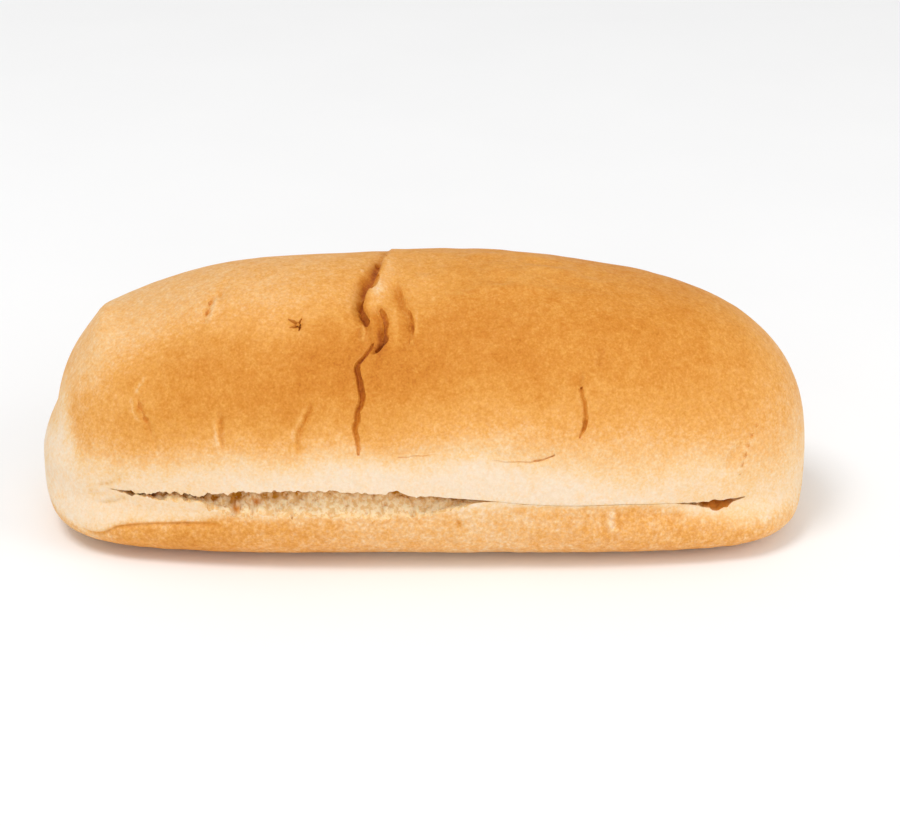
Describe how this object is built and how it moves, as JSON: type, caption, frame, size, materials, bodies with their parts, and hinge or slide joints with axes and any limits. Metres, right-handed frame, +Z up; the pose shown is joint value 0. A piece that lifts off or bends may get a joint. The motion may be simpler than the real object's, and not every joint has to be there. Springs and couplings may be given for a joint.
{
  "type": "hot dog bun",
  "caption": "Long soft bread roll with a browned, cracked domed crust, pale sides and a flat base, cut along one side and still joined at the back.",
  "frame": {"origin": "middle of the flat underside", "axes": "+X along the loaf, to the right when the cut faces the viewer; the cut opens towards -Y; +Z up"},
  "size_m": [0.152, 0.0621, 0.0528],
  "materials": {
    "crust": "soft baked crust, golden brown on top, pale cream at the sides and in the cut"
  },
  "bodies": {
    "root": {"bun": "crust"}
  },
  "joints": []
}
